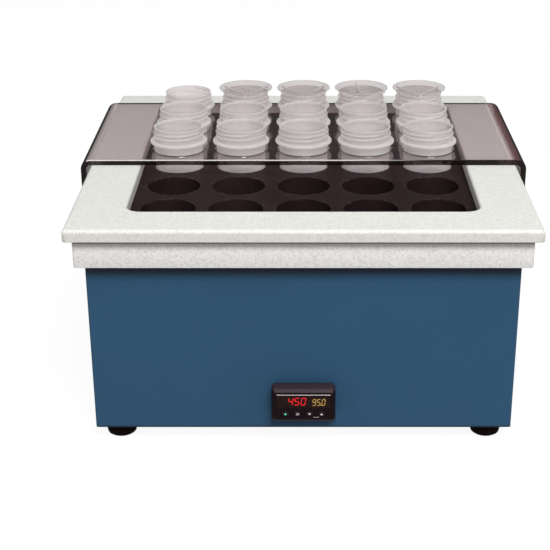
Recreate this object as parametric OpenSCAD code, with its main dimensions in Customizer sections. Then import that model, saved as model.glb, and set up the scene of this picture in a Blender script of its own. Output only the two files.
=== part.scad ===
// Block digester: a bench heater with a grid of wells that holds sample cups,
// a solid-surface top frame, and a bent clear rack that lifts the cups out.
// Millimetres. +Z up, the front faces -Y, the origin is on the floor under
// the centre of the top frame.

/* [Top frame] */
// Width of the top frame, side to side
slab_w = 354.6; // [354:0.2:358]
// Depth of the top frame, front to back
slab_d = 357.2; // [356.8:0.2:362]
// Thickness of the top frame
slab_t = 9.5; // [8:0.1:12]
// Radius along the frame's upper edges
slab_r = 3; // [2:0.1:3]
// Width of the opening over the heating block
open_w = 270.4; // [266:0.2:272]
// Depth of the opening over the heating block
open_d = 275.6; // [270:0.2:277]
// Corner radius of the opening
open_r = 12; // [6:0.5:16]

/* [Skirt band] */
// Height of the band under the top frame
band_h = 22.9; // [18:0.1:28]
// How far the top frame overhangs the band
band_in = 6; // [4:0.1:6]
// Thickness of the band
band_t = 7; // [6.5:0.1:7]

/* [Housing] */
// Height of the painted housing below the band
body_h = 140.1; // [138:0.1:160]
// How far the band stands out from the housing
body_in = 7.2; // [7.1:0.1:7.4]
// Sheet thickness of the housing
wall = 1.5; // [1.2:0.1:1.6]

/* [Feet] */
// Height of the rubber feet
foot_h = 13; // [10:0.5:16]
// Diameter of the rubber feet
foot_d = 24; // [20:0.5:26]
// Distance of each foot's centre from the housing's sides
foot_in = 18; // [17:0.5:20]

/* [Wells] */
// Distance between neighbouring wells
pitch = 53; // [52.6:0.1:53]
// Diameter of a well
well_d = 43.2; // [43:0.1:44]
// Depth of a well
well_h = 56; // [54:0.5:57]
// Depth of the block's top below the frame's top
block_drop = 10.5; // [10.5:0.1:11]

/* [Rack] */
// Thickness of the rack's sheet
sheet_t = 4.7; // [4:0.1:5]
// Depth of the rack, front to back
rack_d = 168.4; // [166:0.2:172]
// Gap between the rack's legs and the top frame
leg_gap = 3.6; // [1.6:0.1:5]
// Length of the rack's legs below the sheet
leg_h = 33.5; // [25:0.5:40]
// Inside radius of the rack's bends
bend_r = 3.8; // [3.4:0.1:3.8]
// Diameter of the rack's holes
rack_hole_d = 42.6; // [42.4:0.1:43]

/* [Cups] */
// Height of a cup
cup_h = 90.8; // [88:0.1:94]
// Outside diameter of a cup just under its flange
cup_d = 41.2; // [40.6:0.1:41.4]
// Outside diameter of a cup at its base
cup_base_d = 39.6; // [38:0.1:40]
// Outside diameter of the flange
flange_d = 47.7; // [46:0.1:48]
// Distance from the flange's top to the rim
neck_h = 12; // [11:0.1:13]
// Wall thickness of a cup
cup_wall = 1.2; // [1:0.05:1.4]

/* [Watch glasses] */
// Diameter of a watch glass
glass_d = 48.4; // [46:0.2:50]
// Thickness of a watch glass
glass_t = 1; // [0.8:0.1:1.2]

/* [Controller] */
// Width of the controller's bezel
bezel_w = 49.6; // [49:0.1:51]
// Height of the controller's bezel at the panel
bezel_h = 28.3; // [28:0.1:30]
// How far the bezel stands out from the panel
bezel_p = 12.8; // [12:0.1:12.8]
// Height of the controller's centre above the floor
bezel_z = 38.85; // [36:0.05:42]

/* [Hidden] */
// heights above the floor
z_body = foot_h;
z_band = foot_h + body_h;
z_slab = z_band + band_h;
z_top = z_slab + slab_t;
z_block = z_top - block_drop;
z_well = z_block - well_h;
block_floor = 10;
z_bbot = z_well - block_floor;
z_heater = z_bbot - 3;
z_clamp = z_heater - 3;
z_board = z_clamp - 3 - 20;
z_tray = z_board - 1.5;
z_base = z_body + wall;
// plan sizes
band_w = slab_w - 2 * band_in;
band_d = slab_d - 2 * band_in;
body_w = band_w - 2 * body_in;
body_d = band_d - 2 * body_in;
block_w = 280;
block_d = 285.6;
yf = -body_d / 2;
yr = body_d / 2;
flange_in = 10;
foot_x = body_w / 2 - foot_in;
foot_y = body_d / 2 - foot_in;
pil_x = 126;
pil_y = 129;
heat_w = 224;
heat_d = 228;
col = [for (i = [-2:2]) i * pitch];
row = [for (i = [-2:2]) i * pitch];
clamp_pts = [for (x = [-1.5, 1.5], y = [-1.5, -0.5, 0.5, 1.5]) [x * pitch, y * pitch]];
probe_pt = [0.5 * pitch, 0.5 * pitch];
cut_pt = [-0.5 * pitch, 0.5 * pitch];
lead_pt = [0, -0.5 * pitch];
base_screws_pts = concat(
    [for (x = [-90, 0, 90], s = [-1, 1]) [x, s * (body_d / 2 - wall - flange_in / 2)]],
    [for (y = [-90, 0, 90], s = [-1, 1]) [s * (body_w / 2 - wall - flange_in / 2), y]]);
z_rack = z_top;
rack_y = 51.8;
leg_x = slab_w / 2 + leg_gap;
z_cup = z_well + 0.2;
cup_z_flange = cup_h - neck_h;
z_rim = z_cup + cup_h;
gasket_t = 0.8;
case_w = 44.8;
case_h = 22;
// rear panel places
inlet_x = -104;
inlet_z = 52;
sw_x = -66;
sw_z = 52;
plug_z = inlet_z + 9;
drawer_z = inlet_z - 13;
// inside places
sink_x = 70;
sink_y = 70;
relay_x = 70;
relay_y = 70;
term_x = -40;
term_y = 96;
earth_x = -120;
earth_y = 110;

// ---------- shapes that repeat ----------

// rounded rectangle, centred
module rrect(w, h, r) {
    square([w - 2 * r, h], center = true);
    square([w, h - 2 * r], center = true);
    for (x = [-1, 1], y = [-1, 1])
        translate([x * (w / 2 - r), y * (h / 2 - r)]) circle(r = r, $fn = 48);
}

// upright rounded prism on z = 0
module prism(w, d, h, r) {
    linear_extrude(h) rrect(w, d, r);
}

// prism that reaches from y0 towards -Y by len, drawn in X and Z
module toward_front(y0, z0, len) {
    translate([0, y0, z0]) rotate([90, 0, 0]) linear_extrude(len) children();
}

// centred box given by its lower corner and upper corner
module span(a, b) {
    translate(a) cube(b - a);
}

// profile with rounded upper corners, standing on y = 0
module arch(w, h, r) {
    translate([-w / 2 + r, 0]) square([w - 2 * r, h]);
    translate([-w / 2, 0]) square([w, h - r]);
    for (s = [-1, 1])
        translate([s * (w / 2 - r), h - r]) circle(r = r, $fn = 64);
}

module stack(z0, z1, r) {
    translate([0, 0, z0]) cylinder(h = z1 - z0, r = r, $fn = 48);
}

// round tube along a smoothed path
function unit(v) = v / norm(v);
function blend4(a, b, c, d, t) =
    0.5 * ((2 * b) + (c - a) * t + (2 * a - 5 * b + 4 * c - d) * t * t
    + (3 * b - a - 3 * c + d) * t * t * t);
function smooth(p, n) = concat(
    [for (i = [0:len(p) - 2]) for (k = [0:n - 1])
        blend4(p[max(i - 1, 0)], p[i], p[i + 1], p[min(i + 2, len(p) - 1)], k / n)],
    [p[len(p) - 1]]);
module lead(p, d, n = 3) {
    q = smooth(p, n);
    m = len(q);
    s = 8;
    t = [for (i = [0:m - 1]) unit(q[min(i + 1, m - 1)] - q[max(i - 1, 0)])];
    pts = [for (i = [0:m - 1])
        let (u = unit(cross(t[i], [0.31, 0.17, 0.93])), v = cross(t[i], u))
        for (a = [0:s - 1]) q[i] + d / 2 * (cos(a * 360 / s) * u + sin(a * 360 / s) * v)];
    polyhedron(pts, concat(
        [[for (a = [0:s - 1]) a]],
        [for (i = [0:m - 2], a = [0:s - 1])
            [i * s + a, (i + 1) * s + a, (i + 1) * s + (a + 1) % s, i * s + (a + 1) % s]],
        [[for (a = [s - 1:-1:0]) (m - 1) * s + a]]), convexity = 6);
}

// ---------- top ----------

// solid-surface frame around the wells, with rounded upper edges
module top_frame() {
    color("whitesmoke") difference() {
        intersection() {
            translate([0, slab_d / 2 + 1, z_slab]) rotate([90, 0, 0])
                linear_extrude(slab_d + 2) arch(slab_w, slab_t, slab_r);
            translate([-slab_w / 2 - 1, 0, z_slab]) rotate([90, 0, 90])
                linear_extrude(slab_w + 2) arch(slab_d, slab_t, slab_r);
            translate([0, 0, z_slab - 1]) prism(slab_w, slab_d, slab_t + 2, 2.5);
        }
        translate([0, 0, z_slab - 1]) prism(open_w, open_d, slab_t + 2, open_r);
    }
}

// band bonded under the top frame
module skirt_band() {
    color("gainsboro") translate([0, 0, z_band]) difference() {
        prism(band_w, band_d, band_h, 2);
        translate([0, 0, -1])
            linear_extrude(band_h + 2)
                square([band_w - 2 * band_t, band_d - 2 * band_t], center = true);
    }
}

// ---------- housing ----------

module rear_slots() {
    for (i = [0:13])
        span([-10 + i * 10, yr - 6, 26], [-6 + i * 10, yr + 2, 66]);
}

// painted sheet shell: four walls, a return flange below and one above
module housing() {
    color("steelblue") difference() {
        translate([0, 0, z_body]) prism(body_w, body_d, z_slab - z_body, 2);
        span([-body_w / 2 + wall, -body_d / 2 + wall, z_base + wall],
             [body_w / 2 - wall, body_d / 2 - wall, z_slab - wall]);
        span([-body_w / 2 + wall, -body_d / 2 + wall, z_body - 1],
             [body_w / 2 - wall, body_d / 2 - wall, z_base]);
        span([-body_w / 2 + wall + flange_in, -body_d / 2 + wall + flange_in, z_body - 1],
             [body_w / 2 - wall - flange_in, body_d / 2 - wall - flange_in, z_base + 3]);
        span([-147.5, -149, z_slab - 4], [147.5, 149, z_slab + 1]);
        span([-case_w / 2 - 0.3, yf - 1, bezel_z - case_h / 2 - 0.3],
             [case_w / 2 + 0.3, yf + 3, bezel_z + case_h / 2 + 0.3]);
        span([inlet_x - 14, yr - 3, inlet_z - 24], [inlet_x + 14, yr + 1, inlet_z + 24]);
        span([sw_x - 11, yr - 3, sw_z - 14.5], [sw_x + 11, yr + 1, sw_z + 14.5]);
        rear_slots();
        for (p = base_screws_pts) translate(p) stack(z_base - 1, z_base + 3, 1.6);
    }
}

module vents() {
    for (i = [-6:6], s = [-1, 1])
        translate([i * 14, s * 62, 0]) span([-2, -18, z_body - 1], [2, 18, z_base + 1]);
}

// bottom sheet inside the housing walls
module base_plate() {
    color("slategray") difference() {
        translate([0, 0, z_body])
            linear_extrude(wall)
                square([body_w - 2 * wall - 0.6, body_d - 2 * wall - 0.6], center = true);
        vents();
        for (x = [-1, 1], y = [-1, 1]) {
            translate([x * foot_x, y * foot_y]) stack(z_body - 1, z_base + 1, 2.6);
            translate([x * pil_x, y * pil_y]) stack(z_body - 1, z_base + 1, 2.7);
        }
        for (p = base_screws_pts) translate(p) stack(z_body - 1, z_base + 1, 1.6);
    }
}

// rubber feet with a recess for the screw's head
module feet() {
    color([0.09, 0.09, 0.09]) for (x = [-1, 1], y = [-1, 1])
        translate([x * foot_x, y * foot_y])
            rotate_extrude($fn = 64)
                polygon([[5, 0], [foot_d / 2 - 2.2, 0], [foot_d / 2 - 0.6, 1.2],
                         [foot_d / 2, 4], [foot_d / 2 - 0.8, foot_h - 0.02],
                         [2.6, foot_h - 0.02], [2.6, 6], [5, 6]]);
}

module foot_screws() {
    color("silver") for (x = [-1, 1], y = [-1, 1])
        translate([x * foot_x, y * foot_y]) {
            stack(3, 6, 4.4);
            stack(5.9, z_base + 6, 2.45);
        }
}

module foot_nuts() {
    color("silver") for (x = [-1, 1], y = [-1, 1])
        translate([x * foot_x, y * foot_y, z_base]) difference() {
            cylinder(h = 4, r = 4.6, $fn = 6);
            translate([0, 0, -1]) cylinder(h = 6, r = 2.5, $fn = 48);
        }
}

module base_screws() {
    color("silver") {
        for (p = base_screws_pts) translate(p) {
            stack(z_body - 1.8, z_body, 2.8);
            stack(z_body - 0.1, z_base + wall + 3, 1.5);
        }
        for (x = [-1, 1], y = [-1, 1]) translate([x * pil_x, y * pil_y]) {
            stack(z_body - 2.6, z_body, 4.5);
            stack(z_body - 0.1, z_base + 8, 2.45);
        }
    }
}

// ---------- heated block ----------

// metal block with a grid of blind wells
module heating_block() {
    color([0.17, 0.15, 0.15]) difference() {
        translate([0, 0, z_bbot]) prism(block_w, block_d, z_block - z_bbot, 6);
        for (x = col, y = row)
            translate([x, y, z_well]) cylinder(h = well_h + 1, d = well_d, $fn = 96);
        for (p = clamp_pts) translate(p) stack(z_bbot - 1, z_bbot + 10, 2);
        for (x = [-1, 1], y = [-1, 1])
            translate([x * pil_x, y * pil_y]) stack(z_bbot - 1, z_bbot + 9, 2.6);
        translate(probe_pt) stack(z_bbot - 1, z_bbot + 42, 1.65);
    }
}

// seal between the block and the top frame
module block_gasket() {
    color([0.2, 0.2, 0.2]) translate([0, 0, z_block + 0.05]) difference() {
        prism(block_w - 1, block_d - 1, block_drop - slab_t - 0.1, 5.5);
        translate([0, 0, -1]) prism(open_w + 2, open_d + 2, 4, open_r + 1);
    }
}

module heater_mat() {
    color([0.75, 0.35, 0.15]) difference() {
        translate([0, 0, z_heater + 0.02]) prism(heat_w, heat_d, 2.96, 6);
        for (p = clamp_pts) translate(p) stack(z_heater - 1, z_bbot + 1, 2.4);
        translate(probe_pt) stack(z_heater - 1, z_bbot + 1, 3);
    }
}

module heater_clamp_plate() {
    color("silver") difference() {
        translate([0, 0, z_clamp]) prism(heat_w, heat_d, 3, 6);
        for (p = clamp_pts) translate(p) stack(z_clamp - 1, z_heater + 1, 2.3);
        translate(probe_pt) stack(z_clamp - 1, z_heater + 1, 3);
        translate(lead_pt) stack(z_clamp - 1, z_heater + 1, 7);
    }
}

module clamp_screws() {
    color("dimgray") for (p = clamp_pts) translate(p) {
        stack(z_clamp - 3, z_clamp, 3.5);
        stack(z_clamp - 0.1, z_bbot + 8, 1.95);
    }
}

module bottom_insulation() {
    color([0.93, 0.91, 0.85]) difference() {
        translate([0, 0, z_board]) prism(276, 281, 20, 4);
        for (x = [-1, 1], y = [-1, 1])
            translate([x * pil_x, y * pil_y]) stack(z_board - 1, z_board + 21, 7.6);
        translate(probe_pt) stack(z_board - 1, z_board + 21, 5);
        translate(lead_pt) stack(z_board - 1, z_board + 21, 8);
        translate(cut_pt) stack(z_board - 1, z_board + 21, 13);
    }
}

// four boards round the block
module side_insulation() {
    color([0.93, 0.91, 0.85]) for (s = [-1, 1]) {
        span([-143, s * 151.5 - 7.5, z_board], [143, s * 151.5 + 7.5, z_slab - 3]);
        span([s * 150.5 - 7, -143, z_board], [s * 150.5 + 7, 143, z_slab - 3]);
    }
}

module insulation_tray() {
    color("lightgray") difference() {
        translate([0, 0, z_tray]) prism(318, 320, 1.5, 4);
        for (x = [-1, 1], y = [-1, 1])
            translate([x * pil_x, y * pil_y]) stack(z_tray - 1, z_tray + 3, 7.2);
        translate(probe_pt) stack(z_tray - 1, z_tray + 3, 5);
        translate(lead_pt) stack(z_tray - 1, z_tray + 3, 8);
        translate(cut_pt) stack(z_tray - 1, z_tray + 3, 13);
    }
}

// turned pillars with a shoulder under the tray and a stud in the block
module support_pillars() {
    color("silver") for (x = [-1, 1], y = [-1, 1])
        translate([x * pil_x, y * pil_y])
            rotate_extrude($fn = 64)
                polygon([[2.55, z_base], [10, z_base], [10, z_tray], [7, z_tray],
                         [7, z_bbot], [2.5, z_bbot], [2.5, z_bbot + 8], [0, z_bbot + 8],
                         [0, z_base + 10], [2.55, z_base + 10]]);
}

module temperature_probe() {
    color("silver") translate(probe_pt) {
        stack(z_bbot - 6, z_bbot + 40, 1.5);
        stack(z_bbot - 16, z_bbot - 6, 2.6);
    }
}

module overheat_cutout() {
    color([0.15, 0.15, 0.16]) translate(cut_pt) {
        stack(z_clamp - 1.2, z_clamp, 11);
        stack(z_clamp - 10, z_clamp - 1.1, 8);
        for (s = [-1, 1])
            translate([s * 5 - 0.4, -3, z_clamp - 18]) cube([0.8, 6, 8.5]);
    }
}

// ---------- controller ----------

// bezel: straight skirt on the panel, then a face that draws in above and below
module controller_bezel() {
    color([0.12, 0.11, 0.11]) difference() {
        union() {
            toward_front(yf - gasket_t, bezel_z, bezel_p - gasket_t - 2.4)
                rrect(bezel_w, bezel_h, 3.4);
            hull() {
                toward_front(yf - bezel_p + 2.5, bezel_z, 0.1)
                    rrect(bezel_w, bezel_h, 3.4);
                toward_front(yf - bezel_p + 0.1, bezel_z, 0.1)
                    rrect(bezel_w - 2, bezel_h - 4.4, 3);
            }
        }
        toward_front(yf, bezel_z, bezel_p - 3.2) rrect(bezel_w - 4, bezel_h - 4, 2);
        span([-21.1, yf - bezel_p - 1, bezel_z - 1.9],
             [21.1, yf - bezel_p + 6, bezel_z + 10.1]);
        for (x = [-14.05, -4.7, 4.7, 14.05])
            span([x - 3.2, yf - bezel_p - 1, bezel_z - 9],
                 [x + 3.2, yf - bezel_p + 6, bezel_z - 4.4]);
    }
}

module controller_window() {
    color([0.05, 0.02, 0.03]) span([-21, yf - bezel_p + 0.1, bezel_z - 1.8],
                                   [21, yf - bezel_p + 1.9, bezel_z + 10]);
}

module controller_gasket() {
    color([0.1, 0.1, 0.1]) difference() {
        toward_front(yf, bezel_z, gasket_t) rrect(bezel_w - 0.6, bezel_h - 0.6, 3.2);
        toward_front(yf + 1, bezel_z, gasket_t + 2) square([case_w + 1, case_h + 1], center = true);
    }
}

// long case behind the panel, closed at the back, with a row of terminals
module controller_case() {
    color([0.16, 0.16, 0.17]) {
        difference() {
            toward_front(yf + 96, bezel_z, 96 + bezel_p - 6) square([case_w, case_h], center = true);
            toward_front(yf + 94.5, bezel_z, 94.5 + bezel_p + 1)
                square([case_w - 3, case_h - 3], center = true);
        }
        for (i = [-3:3])
            span([i * 5.6 - 2, yf + 95.9, bezel_z - 6], [i * 5.6 + 2, yf + 103, bezel_z + 2]);
    }
}

// board with the number display, the key contacts and the board behind it
module display_board() {
    color([0.1, 0.35, 0.2]) {
        span([-20.8, yf - bezel_p + 7.4, bezel_z - 9.4], [20.8, yf - bezel_p + 9, bezel_z + 9.4]);
        span([-20, yf - bezel_p + 2.1, bezel_z - 1.2], [20, yf - bezel_p + 7.5, bezel_z + 9.2]);
        for (x = [-14.05, -4.7, 4.7, 14.05])
            translate([x, yf - bezel_p + 7.5, bezel_z - 6.7]) rotate([90, 0, 0])
                cylinder(h = 0.9, r = 1.8, $fn = 32);
        span([-19, yf - bezel_p + 8.9, bezel_z - 6], [19, yf + 88, bezel_z - 4.4]);
        span([-12, yf + 20, bezel_z - 4.5], [6, yf + 45, bezel_z + 4]);
    }
}

// collar that pulls the case to the panel from inside
module controller_clamp() {
    color([0.2, 0.2, 0.2]) difference() {
        toward_front(yf + wall + 9, bezel_z, 9) rrect(56, 33, 2);
        toward_front(yf + wall + 10, bezel_z, 11) square([case_w + 0.1, case_h + 0.1], center = true);
    }
}

// key cap; its stem stops short of the contact by the key's travel
module key(x) {
    color([0.24, 0.21, 0.22]) {
        span([x - 2.95, yf - bezel_p - 0.3, bezel_z - 8.75],
             [x + 2.95, yf - bezel_p + 2.9, bezel_z - 4.65]);
        span([x - 1.6, yf - bezel_p + 2.8, bezel_z - 8.2],
             [x + 1.6, yf - bezel_p + 5.6, bezel_z - 5.2]);
    }
}
module key_function() { key(-14.05); }
module key_advance() { key(-4.7); }
module key_down() { key(4.7); }
module key_up() { key(14.05); }

// ---------- rear fittings ----------

// mains inlet with a pocket for the plug above a bay for the fuse drawer
module power_inlet() {
    color([0.08, 0.08, 0.08]) difference() {
        union() {
            toward_front(yr + 3, 0, 3) translate([inlet_x, inlet_z]) rrect(33, 52, 3);
            span([inlet_x - 13.7, yr - 26, inlet_z - 23.7], [inlet_x + 13.7, yr + 0.1, inlet_z + 23.7]);
        }
        translate([inlet_x, yr + 4, plug_z]) rotate([90, 0, 0]) linear_extrude(21)
            polygon([[-12, -8], [12, -8], [12, 3.5], [7.5, 8], [-7.5, 8], [-12, 3.5]]);
        span([inlet_x - 11.3, yr - 22, drawer_z - 6.3], [inlet_x + 11.3, yr + 4, drawer_z + 6.3]);
        for (s = [-1, 1])
            span([inlet_x + s * 7 - 1.1, yr - 27, plug_z - 4.1],
                 [inlet_x + s * 7 + 1.1, yr - 16, plug_z + 0.1]);
        span([inlet_x - 1.1, yr - 27, plug_z + 0.4], [inlet_x + 1.1, yr - 16, plug_z + 4.6]);
    }
}

module inlet_pins() {
    color("silver") {
        for (s = [-1, 1])
            span([inlet_x + s * 7 - 1, yr - 33, plug_z - 4], [inlet_x + s * 7 + 1, yr - 5, plug_z]);
        span([inlet_x - 1, yr - 33, plug_z + 0.5], [inlet_x + 1, yr - 5, plug_z + 4.5]);
    }
}

// drawer with a finger lip; the fuse lies in its trough
module fuse_drawer() {
    color([0.1, 0.1, 0.1]) {
        span([inlet_x - 12.3, yr + 3.2, drawer_z - 7.3], [inlet_x + 12.3, yr + 5.4, drawer_z + 7.3]);
        difference() {
            span([inlet_x - 11, yr - 21.4, drawer_z - 6], [inlet_x + 11, yr + 3.3, drawer_z + 6]);
            span([inlet_x - 10.4, yr - 12, drawer_z - 2.8], [inlet_x + 10.4, yr - 6.2, drawer_z + 7]);
        }
    }
}

module fuse() {
    color([0.8, 0.8, 0.8]) translate([inlet_x - 10, yr - 9.1, drawer_z + 0.2])
        rotate([0, 90, 0]) cylinder(h = 20, r = 2.6, $fn = 40);
}

module switch_frame() {
    color([0.08, 0.08, 0.08]) difference() {
        union() {
            toward_front(yr + 2, 0, 2) translate([sw_x, sw_z]) rrect(25, 32, 2);
            span([sw_x - 10.7, yr - 20, sw_z - 14.2], [sw_x + 10.7, yr + 0.1, sw_z + 14.2]);
        }
        span([sw_x - 8.2, yr - 8, sw_z - 12.2], [sw_x + 8.2, yr + 3, sw_z + 12.2]);
        translate([sw_x - 9.5, yr - 1, sw_z]) rotate([0, 90, 0]) cylinder(h = 19, r = 1.25, $fn = 40);
    }
}

// rocker that turns on a pin in the frame's side walls, drawn switched on
module rocker() {
    color([0.13, 0.13, 0.13]) translate([sw_x, yr - 1, sw_z]) rotate([9, 0, 0]) {
        translate([-7.9, 0, 0]) rotate([90, 0, 90]) linear_extrude(15.8)
            polygon([[-3.5, -5], [1.5, -11.3], [4.2, -11.3], [2.4, 0], [4.2, 11.3],
                     [1.5, 11.3], [-3.5, 5]]);
        translate([-9.4, 0, 0]) rotate([0, 90, 0]) cylinder(h = 18.8, r = 1.2, $fn = 40);
    }
}

// ---------- electrical parts inside ----------

module relay_heat_sink() {
    color("silver") translate([sink_x, sink_y, z_base]) {
        translate([-45, -35, 18]) cube([90, 70, 4]);
        for (i = [0:8]) translate([-45 + i * 11, -35, 0]) cube([2, 70, 18.1]);
    }
}

module solid_state_relay() {
    color([0.85, 0.84, 0.8]) translate([relay_x, relay_y, z_base + 22]) {
        translate([-29, -22, 0]) cube([58, 44, 20]);
        for (x = [-1, 1], y = [-1, 1])
            translate([x * 22, y * 14, 19.9]) cylinder(h = 3, r = 3.4, $fn = 32);
    }
}

module terminal_block() {
    color([0.9, 0.89, 0.84]) translate([term_x, term_y, z_base]) {
        translate([-30, -11, 0]) cube([60, 22, 9]);
        translate([-30, -2, 8.9]) cube([60, 4, 7]);
        for (i = [-2:2], s = [-1, 1])
            translate([i * 12, s * 6.5, 8.9]) cylinder(h = 2.6, r = 3, $fn = 32);
    }
}

// insulated leads between the inlet, switch, terminals, relay, heater,
// cut-out, probe and controller
module wiring() {
    tz = z_base + 14;
    color([0.75, 0.1, 0.1]) {
        lead([[inlet_x - 7, yr - 34, plug_z - 2], [inlet_x - 7, yr - 44, plug_z - 4],
              [inlet_x + 16, yr - 54, plug_z - 16], [term_x - 24, term_y + 26, tz + 14],
              [term_x - 24, term_y + 12, tz + 6], [term_x - 24, term_y + 6.5, tz - 1.2]], 2.6);
        lead([[inlet_x + 7, yr - 34, plug_z - 2], [inlet_x + 8, yr - 42, plug_z - 3],
              [sw_x - 6, yr - 44, sw_z + 4], [sw_x - 2, yr - 34, sw_z + 2],
              [sw_x - 2, yr - 20.6, sw_z + 2]], 2.6);
        lead([[sw_x + 6, yr - 20.6, sw_z - 6], [sw_x + 8, yr - 36, sw_z - 8],
              [term_x, term_y + 24, tz + 12], [term_x, term_y + 12, tz + 6],
              [term_x, term_y + 6.5, tz - 1.2]], 2.6);
    }
    color([0.15, 0.15, 0.16]) {
        lead([[term_x + 24, term_y - 6.5, tz - 1.2], [term_x + 26, term_y - 14, tz + 8],
              [term_x + 56, term_y - 22, tz + 34], [relay_x - 36, relay_y + 10, z_base + 52],
              [relay_x - 22, relay_y + 14, z_base + 46.4]], 2.6);
        lead([[relay_x - 22, relay_y - 14, z_base + 46.4], [relay_x - 30, relay_y - 22, z_base + 52],
              [34, -10, 64], [6, -24, 68], [3.2, -26.5, 78], [3.2, -26.5, z_heater]], 2.6);
        lead([[term_x + 12, term_y - 6.5, tz - 1.2], [term_x + 12, term_y - 22, tz + 8],
              [-20, 20, 60], [-6, -20, 66], [-3.2, -26.5, 78], [-3.2, -26.5, z_heater]], 2.6);
    }
    color([0.9, 0.75, 0.2]) {
        lead([[26.5, 26.5, z_bbot - 16.2], [26.5, 26.5, 74], [22, 10, 62], [18, -30, 52],
              [11.2, -50, 44], [11.2, yf + 104, bezel_z - 2]], 2.2);
    }
    color([0.2, 0.35, 0.8]) {
        lead([[relay_x + 22, relay_y - 14, z_base + 46.4], [relay_x + 22, relay_y - 34, z_base + 50],
              [50, -20, 50], [0, -46, 44], [0, yf + 104, bezel_z - 2]], 1.8);
        lead([[cut_pt[0] - 5, cut_pt[1], z_clamp - 18.2], [cut_pt[0] - 5, cut_pt[1], 74],
              [-48, 10, 60], [-20, -44, 46], [-11.2, -52, 42], [-11.2, yf + 104, bezel_z - 2]], 1.8);
    }
}

// ---------- rack, cups and watch glasses ----------

// one clear sheet, bent down at both sides, with a hole for each cup
module cup_rack() {
    color([0.45, 0.4, 0.38, 0.5]) difference() {
        translate([0, rack_y + rack_d / 2, z_top - leg_h]) rotate([90, 0, 0])
            linear_extrude(rack_d) difference() {
                arch(2 * (leg_x + sheet_t), leg_h + sheet_t, bend_r + sheet_t);
                translate([0, -1]) arch(2 * leg_x, leg_h + 1, bend_r);
            }
        for (x = col, y = [row[2], row[3], row[4]])
            translate([x, y, z_top - 1]) cylinder(h = sheet_t + 2, d = rack_hole_d, $fn = 96);
    }
}

// thin cup with a flange and two ridges for its cap below the rim
module cup(c, r) {
    rb = cup_base_d / 2;
    rt = cup_d / 2;
    w = cup_wall;
    f = cup_z_flange;
    h = cup_h;
    color([0.85, 0.87, 0.88, 0.6]) translate([col[c - 1], row[r], z_cup])
        rotate_extrude($fn = 96)
            polygon([[0, 0], [rb - 1.4, 0], [rb - 0.4, 0.45], [rb, 1.4], [rt, f - 1.8],
                     [flange_d / 2 - 0.3, f - 1.8], [flange_d / 2, f - 1.4],
                     [flange_d / 2, f - 0.3], [flange_d / 2 - 0.3, f], [rt - 0.3, f],
                     [rt - 0.3, f + 2.6], [rt + 0.8, f + 3.2], [rt + 0.8, f + 3.8],
                     [rt - 0.3, f + 4.6], [rt - 0.3, f + 6.2], [rt + 0.8, f + 6.8],
                     [rt + 0.8, f + 7.4], [rt - 0.3, f + 8.2], [rt - 0.3, h - 1.2],
                     [rt + 0.1, h - 0.8], [rt + 0.1, h - 0.2], [rt - 0.2, h],
                     [rt - 1.3, h], [rt - 1.5, h - 0.3], [rt - 1.5, f], [rt - w, f - 3],
                     [rb - w, 3], [rb - w - 1, 1.6], [0, 1.6]]);
}

// shallow dish with three fins below that hold it off the rim
module watch_glass(c, turn) {
    rs = 55;
    rim = 0.1;
    zc = rim + 1.3 + glass_t;
    function sag(x) = rs - sqrt(rs * rs - x * x);
    re = glass_d / 2;
    z0 = zc - sag(20.5);
    color([0.85, 0.86, 0.87, 0.6]) translate([col[c - 1], row[4], z_rim]) {
        rotate_extrude($fn = 96)
            polygon(concat(
                [for (i = [0:8]) let (x = re * i / 8) [x, z0 + sag(x)]],
                [for (i = [8:-1:0]) let (x = re * i / 8) [x, z0 + sag(x) - glass_t]]));
        for (a = [0, 120, 240]) rotate([0, 0, turn + a]) translate([0, 0.6, 0])
            rotate([90, 0, 0]) linear_extrude(1.2)
                polygon([[3, -6], [17, -6], [18.4, -4.6], [18.4, rim], [22.6, rim],
                         [22.6, z0 + sag(22.6) - 0.5], [16, z0 + sag(16) - 0.5],
                         [9, z0 + sag(9) - 0.5], [3, z0 + sag(3) - 0.5]]);
    }
}

module cup_front_1() { cup(1, 2); }
module cup_front_2() { cup(2, 2); }
module cup_front_3() { cup(3, 2); }
module cup_front_4() { cup(4, 2); }
module cup_front_5() { cup(5, 2); }
module cup_middle_1() { cup(1, 3); }
module cup_middle_2() { cup(2, 3); }
module cup_middle_3() { cup(3, 3); }
module cup_middle_4() { cup(4, 3); }
module cup_middle_5() { cup(5, 3); }
module cup_back_1() { cup(1, 4); }
module cup_back_2() { cup(2, 4); }
module cup_back_3() { cup(3, 4); }
module cup_back_4() { cup(4, 4); }
module cup_back_5() { cup(5, 4); }
module watch_glass_2() { watch_glass(2, 30); }
module watch_glass_3() { watch_glass(3, 30); }
module watch_glass_4() { watch_glass(4, 100); }
module watch_glass_5() { watch_glass(5, 30); }

top_frame();
skirt_band();
housing();
base_plate();
feet();
foot_screws();
foot_nuts();
base_screws();
heating_block();
block_gasket();
heater_mat();
heater_clamp_plate();
clamp_screws();
bottom_insulation();
side_insulation();
insulation_tray();
support_pillars();
temperature_probe();
overheat_cutout();
controller_bezel();
controller_window();
controller_gasket();
controller_case();
display_board();
controller_clamp();
key_function();
key_advance();
key_down();
key_up();
power_inlet();
inlet_pins();
fuse_drawer();
fuse();
switch_frame();
rocker();
relay_heat_sink();
solid_state_relay();
terminal_block();
wiring();
cup_rack();
cup_front_1();
cup_front_2();
cup_front_3();
cup_front_4();
cup_front_5();
cup_middle_1();
cup_middle_2();
cup_middle_3();
cup_middle_4();
cup_middle_5();
cup_back_1();
cup_back_2();
cup_back_3();
cup_back_4();
cup_back_5();
watch_glass_2();
watch_glass_3();
watch_glass_4();
watch_glass_5();
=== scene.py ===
import math
import random

import bmesh
import bpy
import numpy as np
from mathutils import Matrix, Vector


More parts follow.
